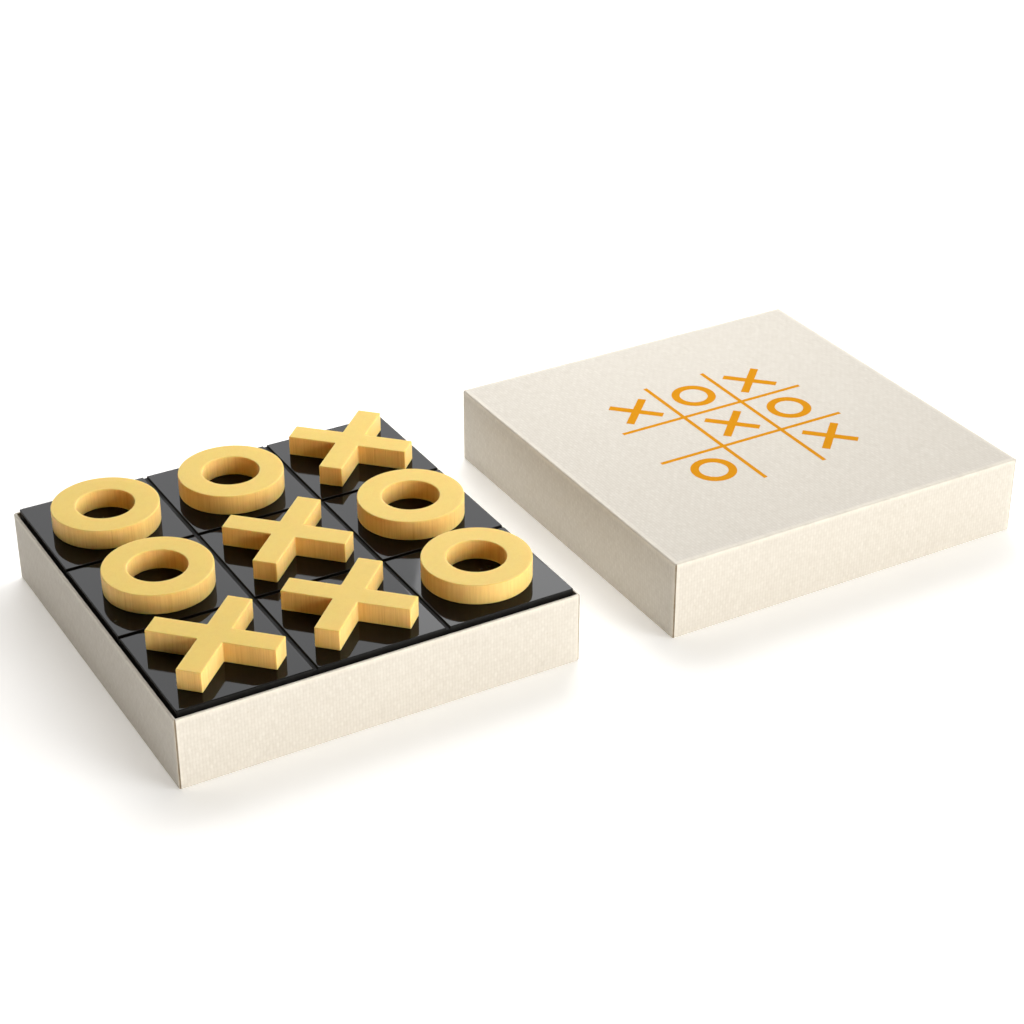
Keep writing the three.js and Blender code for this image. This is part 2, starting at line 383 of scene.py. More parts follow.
    @staticmethod
    def _broken_mark(name: str, attribute: str, least: float) -> NodeTree:
        """A mark in the places that the meshes mark, broken up by patches: worn arrises, partly
        lightened as painted highlight, and painted shade with dark seams.

        Args:
            name: what the effect is called.
            attribute: the mesh attribute that holds the marks.
            least: what is left of the mark in the palest patches.

        Returns:
            A group with a broken mask of the marked places.
        """
        group = EffectGroup(name, {"Patch": 6 * MM, "Amount": 0.5}, ("Mask",))
        marked = group.node("Attribute", attribute_name=attribute).outputs["Fac"]
        scale = group.per_size(group.given["Patch"])
        patches = group.noise(group.position, scale, detail=4.0, roughness=0.65)
        patches = group.ramp(patches, (0.35, 0.65), to=(least, 1.0))
        mask = group.maths("MULTIPLY", group.maths("MULTIPLY", marked, patches), group.given["Amount"])
        return group.put_out(Mask=mask)

    @staticmethod
    def _tone_drift() -> NodeTree:
        """Slow change of tone over a surface.

        Returns:
            A group with a shade that swings about 1.
        """
        group = EffectGroup("tone_drift", {"Size": 40 * MM, "Depth": 0.03}, ("Shade",))
        swing = group.noise(group.position, group.per_size(group.given["Size"]), detail=3.0)
        swing = group.maths("MULTIPLY", group.maths("SUBTRACT", swing, 0.5), 2.0)
        shade = group.maths("MULTIPLY_ADD", swing, group.given["Depth"], 1.0)
        return group.put_out(Shade=shade)

    @staticmethod
    def _fine_specks() -> NodeTree:
        """Scattered specks, such as fibres in paper or dust on lacquer.

        Returns:
            A group with a mask of the specks.
        """
        speck_radius = 0.28
        group = EffectGroup("fine_specks", {"Size": 2 * MM, "Amount": 0.2}, ("Mask",))
        cells = group.node(
            "TexVoronoi", {"Vector": group.position, "Scale": group.per_size(group.given["Size"])}
        )
        near = group.ramp(cells.outputs["Distance"], (0.0, speck_radius), to=(1.0, 0.0))
        lot = group.node("SeparateColor", {0: cells.outputs["Color"]}).outputs[0]
        chosen = group.maths("LESS_THAN", lot, group.given["Amount"])
        return group.put_out(Mask=group.maths("MULTIPLY", near, chosen))


class FinishWiring(Wiring):
    """The node tree of one finish, with its surface shader in place."""

    def __init__(self, name: str, effects: Effects) -> None:
        """Starts a material with a bare surface shader.

        Args:
            name: the finish's name.
            effects: the shared effect groups.
        """
        self.material = bpy.data.materials.new(name)
        self.material.use_nodes = True
        super().__init__(self.material.node_tree)
        self.effects = effects
        self.surface = self.tree.nodes["Principled BSDF"]

    def set_surface(self, **inputs: Value) -> None:
        """Feeds the surface shader; a socket's blanks are written as underscores."""
        for label, value in inputs.items():
            self.feed(self.surface.inputs[label.replace("_", " ")], value)

    def weave(self, thread: float, slub: float) -> tuple[Socket, Socket]:
        """Gives the height and the shade of an embossed weave."""
        weave = self.group(self.effects.weave, {"Thread": thread, "Slub": slub}).outputs
        return weave["Height"], weave["Shade"]

    def drift(self, size: float, depth: float) -> Socket:
        """Gives a slowly changing shade."""
        return self.group(self.effects.drift, {"Size": size, "Depth": depth}).outputs["Shade"]

    def wear_and_highlight(self, patch: float, amount: float) -> Socket:
        """Gives a mask of worn arrises, which on the cover paper are partly painted highlight."""
        return self.group(self.effects.wear_and_highlight, {"Patch": patch, "Amount": amount}).outputs["Mask"]

    def shade_and_seam(self, patch: float, amount: float) -> Socket:
        """Gives a mask of painted shade on folds, rims and grooves, and of dark corner seams."""
        return self.group(self.effects.shade_and_seam, {"Patch": patch, "Amount": amount}).outputs["Mask"]

    def specks(self, size: float, amount: float) -> Socket:
        """Gives a mask of scattered specks."""
        return self.group(self.effects.specks, {"Size": size, "Amount": amount}).outputs["Mask"]

    def bump(self, height: Socket, depth: float) -> Socket:
        """Gives the normal of a surface raised by height times depth."""
        raised = self.node("Bump", {"Height": height, "Distance": depth, "Strength": 1.0})
        return raised.outputs["Normal"]


class Finish(ABC):
    """A finish that is wired into one material."""

    name: str

    def material(self, effects: Effects) -> Material:
        """Builds the material.

        Args:
            effects: the shared effect groups.

        Returns:
            The finished material.
        """
        wires = FinishWiring(self.name, effects)
        self.lay(wires)
        return wires.material

    @abstractmethod
    def lay(self, wires: FinishWiring) -> None:
        """Wires the finish into a material that has a bare surface shader."""


@dataclass(frozen=True)
class CoverPaper(Finish):
    """Off-white cover paper with an embossed linen weave."""

    name: str = "linen_cover_paper"
    colour: Colour = paint(218, 213, 203)
    # The colour where the weave's shade is lowest: the hollows between threads, as painted shade, and
    # darker threads.
    hollow: Colour = paint(197, 190, 178)
    # Lighter colour of worn arrises, partly real and partly painted highlight on the rounded folds and
    # rims.
    worn: Colour = paint(230, 224, 211)
    # Painted shade on the tray's bottom fold, the rims and the corner seams; in the seams it is partly
    # the paper's grey core.
    shade_and_seam_colour: Colour = paint(136, 120, 96)
    fleck: Colour = paint(186, 174, 152)
    fleck_strength: float = 0.35
    thread: float = 1.52 * MM
    slub: float = 1.1
    emboss: float = 0.025 * MM
    roughness: Span = (0.9, 0.74)
    ior: float = 1.45

    def lay(self, wires: FinishWiring) -> None:
        """Wires the weave with its flecks, its worn arrises with painted highlight, and its painted
        shade and dark seams.

        Args:
            wires: the material under construction.
        """
        height, shade = wires.weave(self.thread, self.slub)
        colour = wires.tint(shade, self.hollow, self.colour)
        colour = wires.shaded(colour, wires.drift(size=55 * MM, depth=0.012))
        flecks = wires.maths("MULTIPLY", wires.specks(size=2.6 * MM, amount=0.06), self.fleck_strength)
        colour = wires.tint(flecks, colour, self.fleck)
        # Worn arrises lightened, partly as painted highlight.
        colour = wires.tint(wires.wear_and_highlight(patch=9 * MM, amount=0.85), colour, self.worn)
        # Painted shade and dark corner seams.
        colour = wires.tint(wires.shade_and_seam(patch=5 * MM, amount=1.0), colour, self.shade_and_seam_colour)
        wires.set_surface(
            Base_Color=colour,
            Roughness=wires.ramp(height, (0.0, 1.0), to=self.roughness),
            Normal=wires.bump(height, self.emboss),
            IOR=self.ior,
        )


@dataclass(frozen=True)
class LiningPaper(Finish):
    """Black lining paper with a fine laid texture."""

    name: str = "black_lining_paper"
    colour: Colour = paint(30, 29, 28)
    # The colour where the weave's shade is lowest: the hollows between threads, as painted shade, and
    # darker threads.
    hollow: Colour = paint(19, 18, 18)
    worn: Colour = paint(66, 62, 58)
    thread: float = 0.5 * MM
    slub: float = 1.2
    emboss: float = 0.03 * MM
    roughness: Span = (0.92, 0.7)

    def lay(self, wires: FinishWiring) -> None:
        """Wires the texture with its drift of tone and its pale specks.

        Args:
            wires: the material under construction.
        """
        height, shade = wires.weave(self.thread, self.slub)
        colour = wires.tint(shade, self.hollow, self.colour)
        colour = wires.shaded(colour, wires.drift(size=30 * MM, depth=0.12))
        colour = wires.tint(wires.specks(size=3 * MM, amount=0.08), colour, self.worn)
        wires.set_surface(
            Base_Color=colour,
            Roughness=wires.ramp(height, (0.0, 1.0), to=self.roughness),
            Normal=wires.bump(height, self.emboss),
        )


@dataclass(frozen=True)
class PulpBoard(Finish):
    """Grey or brown stock made of pulp, with fibres and flecks in it."""

    name: str
    colour: Colour
    fibre: Colour
    fleck: Colour
    fibre_size: float = 1.2 * MM
    relief: float = 0.05 * MM
    roughness: Span = (0.95, 0.8)

    def lay(self, wires: FinishWiring) -> None:
        """Wires the fibres and the flecks.

        Args:
            wires: the material under construction.
        """
        place = wires.node("TexCoord").outputs["Object"]
        fibres = wires.noise(place, 1 / self.fibre_size, detail=5.0, roughness=0.7)
        colour = wires.tint(wires.ramp(fibres, (0.35, 0.7)), self.colour, self.fibre)
        colour = wires.shaded(colour, wires.drift(size=25 * MM, depth=0.05))
        colour = wires.tint(wires.specks(size=3.5 * MM, amount=0.25), colour, self.fleck)
        wires.set_surface(
            Base_Color=colour,
            Roughness=wires.ramp(fibres, (0.2, 0.8), to=self.roughness),
            Normal=wires.bump(fibres, self.relief),
        )


@dataclass(frozen=True)
class GlossLacquer(Finish):
    """Black lacquer, polished, with a trace of dust, rubbed arrises, and unpolished grooves darkened as
    painted shade.
    """

    name: str = "black_gloss_lacquer"
    colour: Colour = paint(16, 16, 15)
    rubbed: Colour = paint(34, 33, 32)
    # Painted shade in the grooves.
    groove: Colour = paint(14, 13, 12)
    groove_roughness: float = 0.7
    dust: Colour = paint(120, 116, 108)
    dust_strength: float = 0.12
    dust_roughness: float = 0.2
    haze_size: float = 22 * MM
    roughness: Span = (0.035, 0.075)
    ripple_size: float = 14 * MM
    ripple: float = 0.004 * MM
    ior: float = 1.18

    def lay(self, wires: FinishWiring) -> None:
        """Wires the polish with its haze, dust, rubbed arrises and dull grooves.

        Args:
            Wires the polish with its haze, dust, rubbed arrises, and dull grooves darkened as painted
            shade.
        """
        colour = wires.shaded(self.colour, wires.drift(size=30 * MM, depth=0.1))
        colour = wires.tint(wires.wear_and_highlight(patch=5 * MM, amount=0.6), colour, self.rubbed)
        dust = wires.specks(size=4 * MM, amount=0.05)
        colour = wires.tint(wires.maths("MULTIPLY", dust, self.dust_strength), colour, self.dust)
        # The grooves are dulled and darkened as painted shade.
        groove = wires.shade_and_seam(patch=20 * MM, amount=0.85)
        colour = wires.tint(groove, colour, self.groove)
        place = wires.node("TexCoord").outputs["Object"]
        haze = wires.noise(place, 1 / self.haze_size, detail=3.0)
        roughness = wires.ramp(haze, (0.3, 0.7), to=self.roughness)
        roughness = wires.maths("MULTIPLY_ADD", dust, self.dust_roughness, roughness)
        roughness = wires.blend(groove, roughness, self.groove_roughness)
        ripple = wires.noise(place, 1 / self.ripple_size, detail=1.0)
        wires.set_surface(
            Base_Color=colour,
            Roughness=roughness,
            Normal=wires.bump(ripple, self.ripple),
            IOR=self.ior,
        )


@dataclass(frozen=True)
class PaleWood(Finish):
    """Pale varnished wood with upright fibres; a mark's depth is given for the faces and the sides."""

    name: str
    # The faces are end grain and deeper than the sides; besides, the faces are darkened as painted shade
    # against the sky's reflection on them, and the sides are lightened as painted highlight.
    face: Colour = paint(224, 193, 88)
    side: Colour = paint(252, 212, 130)
    dark: Colour = paint(188, 126, 48)
    worn: Colour = paint(234, 204, 126)
    fibre: float = 0.55 * MM
    run: float = 26 * MM
    streak_depth: Span = (0.10, 0.21)
    band_depth: Span = (0.05, 0.09)
    fleck_depth: Span = (0.16, 0.26)
    relief: float = 0.02 * MM
    roughness: Span = (0.4, 0.55)
    ior: float = 1.25
    sheen: float = 0.04
    light_within: float = 0.4
    light_reach: Point = (1.0, 0.4, 0.12)
    light_depth: float = 5 * MM

    def lay(self, wires: FinishWiring) -> None:
        """Wires the grain and the light that goes into the wood.

        Args:
            wires: the material under construction.
        """
        grain = wires.group(wires.effects.grain, {"Fibre": self.fibre, "Run": self.run}).outputs
        side = grain["Side"]
        # Faces and sides take different colours, partly end grain and partly painted light.
        colour = wires.tint(side, self.face, self.side)
        marks = (
            (wires.ramp(grain["Streak"], (0.35, 0.75)), self.streak_depth),
            (wires.ramp(grain["Band"], (0.4, 0.7)), self.band_depth),
            (grain["Fleck"], self.fleck_depth),
        )
        for mark, depth in marks:
            share = wires.maths("MULTIPLY", mark, wires.blend(side, *depth))
            colour = wires.tint(share, colour, self.dark)
        colour = wires.shaded(colour, wires.drift(size=18 * MM, depth=0.03))
        colour = wires.tint(wires.wear_and_highlight(patch=5 * MM, amount=0.45), colour, self.worn)
        wires.set_surface(
            Base_Color=colour,
            Roughness=wires.ramp(grain["Streak"], (0.3, 0.8), to=self.roughness),
            Normal=wires.bump(grain["Height"], self.relief),
            IOR=self.ior,
            Sheen_Weight=self.sheen,
            Subsurface_Weight=self.light_within,
            Subsurface_Radius=self.light_reach,
            Subsurface_Scale=self.light_depth,
        )


@dataclass(frozen=True)
class GoldFoil(Finish):
    """Hot-stamped foil in an orange gold, pressed over the weave of the cover paper."""

    name: str = "orange_gold_foil"
    colour: Colour = paint(203, 137, 24)
    rubbed: Colour = paint(204, 142, 36)
    thread: float = CoverPaper.thread
    slub: float = 0.9
    emboss: float = 0.02 * MM
    roughness: Span = (0.62, 0.48)
    metal: Span = (0.0, 0.1)
    gleam: float = 0.0

    def lay(self, wires: FinishWiring) -> None:
        """Wires the foil with its rubbed specks and arrises.

        Args:
            wires: the material under construction.
        """
        height, _ = wires.weave(self.thread, self.slub)
        colour = wires.shaded(self.colour, wires.drift(size=12 * MM, depth=0.05))
        colour = wires.tint(wires.specks(size=1.4 * MM, amount=0.2), colour, self.rubbed)
        colour = wires.tint(wires.wear_and_highlight(patch=3 * MM, amount=0.3), colour, self.rubbed)
        wires.set_surface(
            Base_Color=colour,
            Metallic=wires.ramp(height, (0.0, 1.0), to=self.metal),
            Roughness=wires.ramp(height, (0.0, 1.0), to=self.roughness),
            Normal=wires.bump(height, self.emboss),
            Specular_IOR_Level=self.gleam,
        )


@dataclass(frozen=True)
class StudioFloorPaint(Finish):
    """Matt pale floor, lit faintly from below, with a faint change of tone."""

    name: str = "pale_studio_floor"
    colour: Colour = paint(252, 252, 251)
    glow: Colour = paint(255, 253, 249)
    glow_strength: float = 0.29
    roughness: float = 0.9
    gleam: float = 0.1

    def lay(self, wires: FinishWiring) -> None:
        """Wires the paint and its glow.

        Args:
            wires: the material under construction.
        """
        wires.set_surface(
            Base_Color=wires.shaded(self.colour, wires.drift(size=0.8, depth=0.004)),
            Roughness=self.roughness,
            Specular_IOR_Level=self.gleam,
            Emission_Color=self.glow,
            Emission_Strength=self.glow_strength,
        )


@dataclass(frozen=True)
class PieceTag:
    """Where a piece belongs: its name, its body, its slot and the solids that it stands for."""

    name: str
    body: str
    slot: str | None = None
    stands_for: tuple[str, ...] = ()


class MeshDraft:
    """Points, faces, worn arrises with painted highlight, and painted shade, gathered for one piece
    before it becomes a mesh.
    """

    def __init__(self) -> None:
        """Starts with nothing drawn."""
        self.points: list[Point] = []
        self.faces: list[tuple[int, ...]] = []
        self.wear_and_highlight: list[float] = []
        self.shade_and_seam: list[float] = []

    def ring(
        self, points: Sequence[Point], wear_and_highlight: Sequence[float] = (), shade_and_seam: Sequence[float] = ()
    ) -> list[int]:
        """Adds points.

        Args:
            points: the points in order.
            wear_and_highlight: how worn each is, with painted highlight, not at all if left out.
            shade_and_seam: how much painted shade and dark seam each has, not at all if left out.

        Returns:
            The points' numbers.
        """
        first = len(self.points)
        clean = [0.0] * len(points)
        self.points.extend(points)
        self.wear_and_highlight.extend(wear_and_highlight or clean)
        self.shade_and_seam.extend(shade_and_seam or clean)
        return list(range(first, first + len(points)))

    def bridge(self, lower: Sequence[int], upper: Sequence[int]) -> None:
        """Joins two rings of equal length by quads.

        Args:
            lower: the ring that lies lower where the quads face out.
            upper: the ring above it.
        """
        for here in range(len(lower)):
            following = (here + 1) % len(lower)
            self.faces.append((lower[here], lower[following], upper[following], upper[here]))

    def cap(self, ring: Sequence[int], faces_up: bool) -> None:
        """Closes a ring that runs counter-clockwise as seen from above."""
        self.faces.append(tuple(ring) if faces_up else tuple(reversed(ring)))

    def close_up(self, rings: Sequence[Sequence[int]]) -> None:
        """Joins rings of equal length into a closed skin.

        Args:
            rings: the rings in order; the first is closed from below and the last from above.
        """
        for lower, upper in zip(rings, rings[1:]):
            self.bridge(lower, upper)
        self.cap(rings[0], faces_up=False)
        self.cap(rings[-1], faces_up=True)

    def turn_over(self, centre_y: float, height: float) -> None:
        """Turns everything over about the line along X at centre_y, to stand at the same height."""
        self.points = [(x, 2 * centre_y - y, height - z) for x, y, z in self.points]

    def join(self, other: MeshDraft) -> None:
        """Takes over everything that another draft has drawn.

        Args:
            other: the draft that is taken over.
        """
        first = len(self.points)
        self.points.extend(other.points)
        self.wear_and_highlight.extend(other.wear_and_highlight)
        self.shade_and_seam.extend(other.shade_and_seam)
        self.faces.extend(tuple(first + number for number in face) for face in other.faces)

    def make(self, tag: PieceTag, material: Material) -> SceneObject:
        """Makes the piece and sets it on its body.

        Args:
            tag: the piece's name, body, slot and replaced solids.
            material: its finish.

        Returns:
            The piece in the scene.
        """
        mesh = bpy.data.meshes.new(tag.name)
        mesh.from_pydata(self.points, [], self.faces)
        for name, values in ((WEAR_AND_HIGHLIGHT_MARK, self.wear_and_highlight), (SHADE_AND_SEAM_MARK, self.shade_and_seam)):
            mesh.attributes.new(name, "FLOAT", "POINT").data.foreach_set("value", values)
        shaper = bmesh.new()
        shaper.from_mesh(mesh)
        bmesh.ops.remove_doubles(shaper, verts=shaper.verts, dist=SAME_POINT)
        unused = [point for point in shaper.verts if not point.link_faces]
        bmesh.ops.delete(shaper, geom=unused, context="VERTS")
        shaper.to_mesh(mesh)
        shaper.free()
        mesh.shade_smooth()
        mesh.set_sharp_from_angle(angle=SOFT_EDGE_ANGLE)
        mesh.materials.append(material)
        piece = bpy.data.objects.new(tag.name, mesh)
        bpy.context.scene.collection.objects.link(piece)
        level = piece.modifiers.new("even_faces", "WEIGHTED_NORMAL")
        level.keep_sharp = True
        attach(piece, tag.body)
        if tag.stands_for:
            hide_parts(*tag.stands_for)
        return piece


@dataclass(frozen=True)
class Station:
    """One point of a section: its place, how worn it is with painted highlight, how much painted shade
    it has, and how deep a corner seam is.
    """

    out: float
    up: float
    wear_and_highlight: float = 0.0
    shade_and_seam: float = 0.0
    seam: float = 0.0


@dataclass(frozen=True)
class Bend:
    """A quarter of an ellipse in a section, from one angle to another."""

    out: float
    up: float
    reach_out: float
    reach_up: float
    start: float
    end: float
    steps: int = 6

    def behind(self, thickness: float) -> Bend:
        """Gives the hidden side of a sheet that bends so, drawn the other way."""
        reach = (self.reach_out - thickness, self.reach_up - thickness)
        return Bend(self.out, self.up, *reach, self.end, self.start, self.steps)

    def stations(
        self, wear_and_highlight: float = 1.0, shade_and_seam: Span = (0.0, 0.0), seam: Span = (0.0, 0.0)
    ) -> list[Station]:
        """Draws the bend.

        Args:
            wear_and_highlight: how worn the bend is, with painted highlight.
            shade_and_seam: how much painted shade it has at its start and end.
            seam: depth of the corner seam at its start and end.

        Returns:
            The stations from start to end.
        """
        drawn = []
        for step in range(self.steps + 1):
            share = step / self.steps
            angle = self.start + (self.end - self.start) * share
            drawn.append(
                Station(
                    self.out + self.reach_out * math.cos(angle),
                    self.up + self.reach_up * math.sin(angle),
                    wear_and_highlight,
                    shade_and_seam[0] + (shade_and_seam[1] - shade_and_seam[0]) * share,
                    seam[0] + (seam[1] - seam[0]) * share,
                )
            )
        return drawn


@dataclass(frozen=True)
class CornerSeam:
    """Gap beside the cut edge of the cover paper, on each upright corner of a box.

    It lies towards the front or back wall. Places are shares of the corner's turn from the side wall.
    """

    near_edge: float = 0.36
    floor_start: float = 0.41
    floor_end: float = 0.93
    far_edge: float = 0.97
    depth: float = 0.17 * MM
    # Lightening beside the seam, partly the paper's worn cut edge and partly painted highlight on the
    # rounded corner.
    edge_wear: float = 0.6

    def turns(self, steps: int) -> list[tuple[float, float, float]]:
        """Draws a corner with its seam.

        Args:
            steps: number of points before the seam.

        Returns:
            Share of the turn, share of the seam's depth, and wear at each point.
        """
        plain = [(self.near_edge * step / steps, 0.0, self.edge_wear) for step in range(steps)]
        floor_middle = (self.floor_start + self.floor_end) / 2
        return plain + [
            (self.near_edge, 0.0, self.edge_wear),
            (self.floor_start, 1.0, 0.0),
            (floor_middle, 1.0, 0.0),
            (self.floor_end, 1.0, 0.0),
            (self.far_edge, 0.0, self.edge_wear),
            (1.0, 0.0, self.edge_wear),
        ]


@dataclass
class PaperCover:
    """Cover paper of the tray or the lid: one sheet round it, over its rim and down the inside."""

    node: str
    tag: PieceTag
    standing: Standing
    # How worn each fold and the rim are, their lightening partly painted highlight, and how far painted
    # shade darkens them.
    fold_wear_and_highlight: float
    fold_shade: float
    rim_wear_and_highlight: float
    rim_shade: Span
    wall: float = 1.4 * MM
    paper: float = 0.2 * MM
    fold: float = 1.0 * MM
    fold_height: float = 0.85 * MM
    rim_outside: float = 0.7 * MM
    rim_inside: float = 0.55 * MM
    rim_height: float = 0.55 * MM
    turn_in: float = 15 * MM
    crease: float = 0.1 * MM
    worn_margin: float = 2.0 * MM
    corner_steps: int = 8
    seam: CornerSeam = field(default_factory=CornerSeam)

    def section(self, half: float, height: float) -> list[Station]:
        """Draws the sheet's section, outside first and then back along its hidden side.

        Args:
            half: from the middle to the outside of the wall.
            height: from the underside to the rim.

        Returns:
            The stations from the underside over the rim and back to the underside's hidden face.
        """
        inner = half - self.wall
        rim_base = height - self.rim_height
        foot = height - self.turn_in
        fold_out = half - self.fold
        rim_out = half - self.rim_outside
        rim_in = inner + self.rim_inside
        outside_fold = Bend(fold_out, self.fold_height, self.fold, self.fold_height, -QUARTER, 0)
        outside_rim = Bend(rim_out, rim_base, self.rim_outside, self.rim_height, 0, QUARTER)
        inside_rim = Bend(rim_in, rim_base, self.rim_inside, self.rim_height, QUARTER, 2 * QUARTER)
        return [
            Station(fold_out - self.worn_margin, 0),
            *outside_fold.stations(self.fold_wear_and_highlight, (self.fold_shade, 0.0), seam=(0.0, 1.0)),
            Station(half, self.fold_height + self.worn_margin, seam=1.0),
            Station(half, rim_base - self.worn_margin, seam=1.0),
            *outside_rim.stations(self.rim_wear_and_highlight, (0.0, self.rim_shade[0]), seam=(1.0, 0.5)),
            *inside_rim.stations(self.rim_wear_and_highlight, self.rim_shade, seam=(0.5, 0.0)),
            Station(inner, rim_base - self.worn_margin),
            Station(inner, foot),
            Station(inner + self.paper, foot),
            *inside_rim.behind(self.paper).stations(wear_and_highlight=0.0),
            *outside_rim.behind(self.paper).stations(wear_and_highlight=0.0),
            *outside_fold.behind(self.paper).stations(wear_and_highlight=0.0),
        ]

    def plan(self, half: float, radius: float, sink: float) -> list[tuple[float, float, float, float]]:
        """Draws one turn round the box, with a seam on each corner.

        Args:
            half: from the middle to the side.
            radius: of the corners.
            sink: the seam's depth at this height.

        Returns:
            x, y, wear and share of the seam's depth of each point, counter-clockwise.
        """
        centre = half - radius
        margin = centre - self.worn_margin
        drawn = []
        for corner, (sx, sy) in enumerate(((1, 1), (-1, 1), (-1, -1), (1, -1))):
            side_first = corner % 2 == 0
            bend = []
            for share, dip, wear_and_highlight in self.seam.turns(self.corner_steps):
                angle = (corner + (share if side_first else 1 - share)) * QUARTER
                reach = radius - sink * dip
                x = sx * centre + reach * math.cos(angle)
                y = sy * centre + reach * math.sin(angle)
                bend.append((x, y, wear_and_highlight, dip))
            turn = [(sx * half, sy * margin, 0.0, 0.0), *bend, (sx * margin, sy * half, 0.0, 0.0)]
            drawn += turn if side_first else turn[::-1]
        return drawn

    def build(self, material: Material) -> list[SceneObject]:
        """Makes the cover.

        Args:
            material: the cover paper.

        Returns:
            The one piece of paper.
        """
        low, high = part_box(self.node)
        half = (high.x - low.x) / 2
        middle = (low + high) / 2
        height = high.z - low.z
        draft = MeshDraft()
        rings = []
        for station in self.section(half, height):
            radius = max(self.fold - (half - station.out), self.crease)
            plan = self.plan(station.out, radius, self.seam.depth * station.seam)
            points = [(middle.x + x, middle.y + y, low.z + station.up) for x, y, _, _ in plan]
            walls = station.up > self.fold_height and station.out > half - self.rim_outside
            # Worn arrises of folds, rim and seam edges, lightened partly as painted highlight.
            wear_and_highlight = [max(station.wear_and_highlight, worn if walls else 0.0) for _, _, worn, _ in plan]
            # Painted shade on the folds and the rim, and the dark corner seams, which are partly the
            # paper's grey core and partly painted shade.
            shade_and_seam = [max(station.shade_and_seam, share * station.seam) for _, _, _, share in plan]
            rings.append(draft.ring(points, wear_and_highlight, shade_and_seam))
        draft.close_up(rings)
        if self.standing is Standing.MOUTH_DOWN:
            draft.turn_over(middle.y, low.z + high.z)
        return [draft.make(self.tag, material)]


@dataclass
class GlossBoard:
    """Black gloss plate whose face is cut into nine tiles by four grooves.

    Each point of the face's section holds its place, its drop below the face, how worn it is, and how
    much painted shade darkens it in the grooves.
    """

    node: str = "board"
    tag: PieceTag = PieceTag("gloss_board", "board", "black_gloss", ("board",))
    tiles: int = 3
    groove_width: float = 2 * MM
    groove_depth: float = 1 * MM
    groove_ease: float = 0.4 * MM
    groove_root: float = 0.2 * MM
    groove_lean: float = 0.01 * MM
    edge_ease: float = 0.4 * MM
    corner: float = 0.8 * MM
    worn_margin: float = 0.9 * MM
    steps: int = 5

    def half_groove(self) -> list[FacePoint]:
        """Draws a groove's section from the face down to the groove's middle.

        Returns:
            The points, with places measured from the groove's middle.
        """
        half = self.groove_width / 2
        ease = self.groove_ease
        root = self.groove_root
        lip = half + ease
        floor = half - self.groove_lean
        drawn = [(lip + self.worn_margin, 0.0, 0.0, 0.0)]
        for step, angle in enumerate(quarter_turn(self.steps)):
            away = lip - ease * math.sin(angle)
            drawn.append((away, ease * (1 - math.cos(angle)), 1.0, step / self.steps))
        for angle in quarter_turn(self.steps):
            away = floor - root * (1 - math.cos(angle))
            drawn.append((away, self.groove_depth - root * (1 - math.sin(angle)), 0.0, 1.0))
        return drawn

    def stations(self, half: float) -> list[FacePoint]:
        """Draws the face's section from one side of the board to the other.

        Args:
            half: from the board's middle to its side.

        Returns:
            The points in order.
        """
        ease = self.edge_ease
        edge = []
        for angle in quarter_turn(self.steps):
            place = half - ease * (1 - math.cos(angle))
            edge.append((place, ease * (1 - math.sin(angle)), 1.0, 0.0))
        edge.append((half - ease - self.worn_margin, 0.0, 0.0, 0.0))
        drawn = [(-place, *rest) for place, *rest in edge]
        groove = self.half_groove()
        pitch = 2 * half / self.tiles
        for line in range(1, self.tiles):
            middle = line * pitch - half
            drawn += [(middle - away, *rest) for away, *rest in groove]
            drawn += [(middle + away, *rest) for away, *rest in reversed(groove)]
        return drawn + edge[::-1]

    def rounded(self, x: float, y: float, half: float) -> tuple[float, float]:
        """Pulls a point of the square plan in to the plan's round corners.

        Args:
            x: from the board's middle.
            y: from the board's middle.
            half: from the middle to the side.

        Returns:
            The point's place in the rounded plan.
        """
        start = half - self.corner
        past_x = abs(x) - start
        past_y = abs(y) - start
        if past_x <= 0 or past_y <= 0:
            return x, y
        scale = max(past_x, past_y) / math.hypot(past_x, past_y)
        return math.copysign(start + past_x * scale, x), math.copysign(start + past_y * scale, y)

    def face(self, draft: MeshDraft, middle: Vector, half: float, top: float) -> list[int]:
        """Draws the face with its grooves.

        Args:
            draft: takes the points and the faces.
            middle: the board's middle in plan.
            half: from the middle to the side.
            top: height of the face.

        Returns:
            The numbers of the points round the face, counter-clockwise.
        """
        stations = self.stations(half)
        grid = []
        for y, drop_y, wear_y, shade_y in stations:
            points = []
            wear_and_highlight = []
            shade_and_seam = []
            for x, drop_x, wear_x, shade_x in stations:
                px, py = self.rounded(x, y, half)
                points.append((middle.x + px, middle.y + py, top - max(drop_x, drop_y)))
                wear_and_highlight.append(wear_x if drop_x >= drop_y else wear_y)
                shade_and_seam.append(max(shade_x, shade_y))
            grid.append(draft.ring(points, wear_and_highlight, shade_and_seam))
        for row, above in zip(grid, grid[1:]):
            for here in range(len(stations) - 1):
                draft.faces.append((row[here], row[here + 1], above[here + 1], above[here]))
        right = [row[-1] for row in grid[1:]]
        left = [row[0] for row in grid[-2:0:-1]]
        return grid[0] + right + grid[-1][-2::-1] + left

    def build(self, material: Material) -> list[SceneObject]:
        """Makes the board.

        Args:
            material: the gloss lacquer.

        Returns:
            The board alone.
        """
        low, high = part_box(self.node)
        half = (high.x - low.x) / 2
        middle = (low + high) / 2
        ease = self.edge_ease
        draft = MeshDraft()
        upper = self.face(draft, middle, half, high.z)
        rim = [draft.points[number] for number in upper]
        for station in Bend(half - ease, low.z + ease, ease, ease, 0, -QUARTER).stations():
            scale = station.out / half
            points = [
                (middle.x + (x - middle.x) * scale, middle.y + (y - middle.y) * scale, station.up)
                for x, y, _ in rim
            ]
            lower = draft.ring(points, [station.wear_and_highlight] * len(points))
            draft.bridge(lower, upper)
            upper = lower
        draft.cap(upper, faces_up=False)
        return [draft.make(self.tag, material)]


